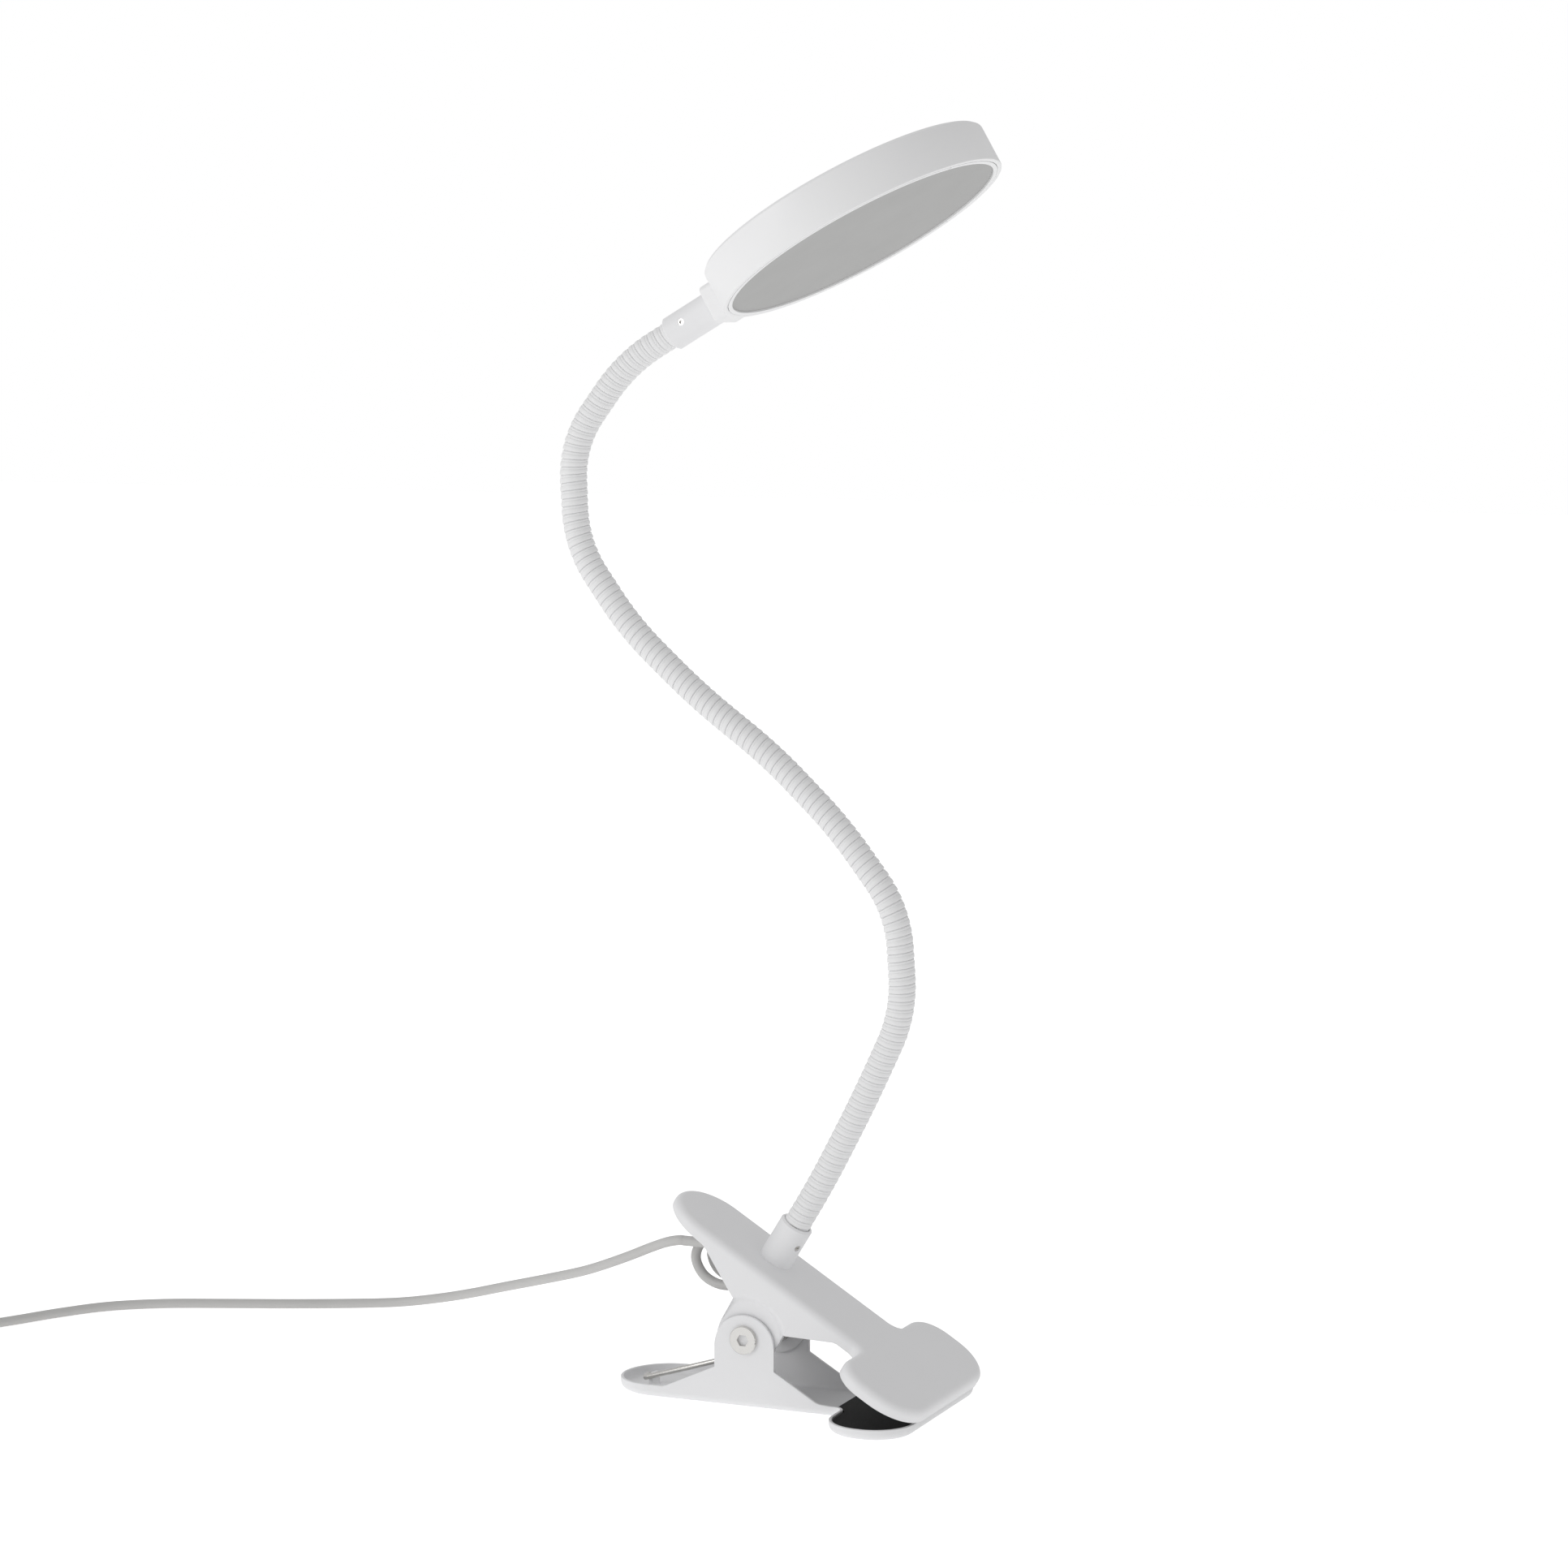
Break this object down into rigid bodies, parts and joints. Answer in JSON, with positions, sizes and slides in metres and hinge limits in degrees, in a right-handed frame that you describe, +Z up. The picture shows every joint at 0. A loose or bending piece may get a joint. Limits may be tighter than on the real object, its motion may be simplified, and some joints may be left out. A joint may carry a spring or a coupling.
{
  "type": "clip on reading lamp",
  "caption": "White clip-on reading lamp: round flat LED head on a spiral gooseneck, sprung sheet-metal clip with wide rubber-lined jaws, and a thin lead with a switch.",
  "frame": {"origin": "on the table plane, straight below the clip's pivot axis, in the lamp's middle plane", "axes": "+Z up, +X from the clip's handle to its jaws, +Y across the clip along its pivot"},
  "size_m": [0.4948, 0.1364, 0.4601],
  "materials": {
    "white_plastic": "smooth satin white moulding",
    "white_paint": "smooth satin white powder coat",
    "diffuser_plastic": "frosted translucent sheet",
    "reflector_white": "bright white",
    "board": "white solder mask",
    "led": "yellow phosphor",
    "steel": "nickel plated",
    "black_rubber": "matt",
    "lead_jacket": "soft satin light grey jacket",
    "button_grey": "fine matt",
    "switch_board_green": "solder mask",
    "washer_nylon": "natural nylon"
  },
  "bodies": {
    "lower_half": {"lower_lever": "white_paint", "lower_pad": "black_rubber", "pivot_screws": "steel", "pivot_bush": "steel", "pivot_washers": "washer_nylon", "torsion_spring": "steel", "lead_bend": "lead_jacket", "lead_run": "lead_jacket", "lead_coil": "lead_jacket", "coil_tie": "black_rubber", "lead_tail_in": "lead_jacket", "lead_reliefs": "lead_jacket", "switch_base": "white_plastic", "switch_cover": "white_plastic", "switch_board": "switch_board_green", "lead_tail_out": "lead_jacket", "plug_body": "white_plastic", "plug_shell": "steel", "plug_tongue": "white_plastic"},
    "upper_half": {"upper_lever": "white_paint", "upper_pad": "black_rubber", "lower_sleeve": "white_paint", "lower_grub_screw": "steel", "sleeve_nut": "steel", "lead_grommet": "black_rubber", "lead_knot": "lead_jacket", "gooseneck_link_1": "white_paint", "lead_core_1": "lead_jacket"},
    "hose_2": {"gooseneck_link_2": "white_paint", "lead_core_2": "lead_jacket"},
    "hose_3": {"gooseneck_link_3": "white_paint", "lead_core_3": "lead_jacket"},
    "hose_4": {"gooseneck_link_4": "white_paint", "lead_core_4": "lead_jacket"},
    "hose_5": {"gooseneck_link_5": "white_paint", "lead_core_5": "lead_jacket"},
    "hose_6": {"gooseneck_link_6": "white_paint", "lead_core_6": "lead_jacket"},
    "hose_7": {"gooseneck_link_7": "white_paint", "lead_core_7": "lead_jacket"},
    "hose_8": {"gooseneck_link_8": "white_paint", "lead_core_8": "lead_jacket"},
    "hose_9": {"gooseneck_link_9": "white_paint", "lead_core_9": "lead_jacket"},
    "hose_10": {"gooseneck_link_10": "white_paint", "lead_core_10": "lead_jacket"},
    "head": {"gooseneck_link_11": "white_paint", "lead_core_11": "lead_jacket", "head_housing": "white_plastic", "trim_ring": "white_plastic", "diffuser": "diffuser_plastic", "reflector_ring": "reflector_white", "led_board": "board", "leds": "led", "board_screws": "steel", "neck_block": "white_plastic", "neck_screws": "steel", "upper_sleeve": "white_paint", "upper_grub_screw": "steel"},
    "button": {"switch_button": "button_grey"}
  },
  "joints": [
    {"name": "clamp_hinge", "type": "hinge", "parent": "lower_half", "child": "upper_half", "pos_m": [0, 0, 0.025], "axis": [0, -1, 0], "range_deg": [0, 35], "stiffness_Nm_per_rad": 1.2, "springref_deg": -24.06, "deforming": ["torsion_spring", "lead_bend"]},
    {"name": "hose_bend_1", "type": "hinge", "parent": "upper_half", "child": "hose_2", "pos_m": [0.03152, 0, 0.09701], "axis": [0, 1, 0], "range_deg": [-25, 25]},
    {"name": "hose_bend_2", "type": "hinge", "parent": "hose_2", "child": "hose_3", "pos_m": [0.04739, 0, 0.1292], "axis": [0.9063, 0, -0.4226], "range_deg": [-25, 25]},
    {"name": "hose_bend_3", "type": "hinge", "parent": "hose_3", "child": "hose_4", "pos_m": [0.05383, 0, 0.16392], "axis": [0, 1, 0], "range_deg": [-25, 25]},
    {"name": "hose_bend_4", "type": "hinge", "parent": "hose_4", "child": "hose_5", "pos_m": [0.04125, 0, 0.19667], "axis": [0.788, 0, 0.6157], "range_deg": [-25, 25]},
    {"name": "hose_bend_5", "type": "hinge", "parent": "hose_5", "child": "hose_6", "pos_m": [0.01704, 0, 0.2231], "axis": [0, 1, 0], "range_deg": [-25, 25]},
    {"name": "hose_bend_6", "type": "hinge", "parent": "hose_6", "child": "hose_7", "pos_m": [-0.01073, 0, 0.24579], "axis": [0.5807, 0, 0.8141], "range_deg": [-25, 25]},
    {"name": "hose_bend_7", "type": "hinge", "parent": "hose_7", "child": "hose_8", "pos_m": [-0.03881, 0, 0.26812], "axis": [0, 1, 0], "range_deg": [-25, 25]},
    {"name": "hose_bend_8", "type": "hinge", "parent": "hose_8", "child": "hose_9", "pos_m": [-0.06287, 0, 0.29461], "axis": [0.809, 0, 0.5878], "range_deg": [-25, 25]},
    {"name": "hose_bend_9", "type": "hinge", "parent": "hose_9", "child": "hose_10", "pos_m": [-0.07444, 0, 0.32776], "axis": [0, 1, 0], "range_deg": [-25, 25]},
    {"name": "hose_bend_10", "type": "hinge", "parent": "hose_10", "child": "head", "pos_m": [-0.06412, 0, 0.36099], "axis": [0.7986, 0, -0.6018], "range_deg": [-25, 25]},
    {"name": "button_press", "type": "slide", "parent": "lower_half", "child": "button", "axis": [0, 0, -1], "range_m": [0, 0.0012], "stiffness_N_per_m": 1500, "springref_m": -0.0012}
  ]
}
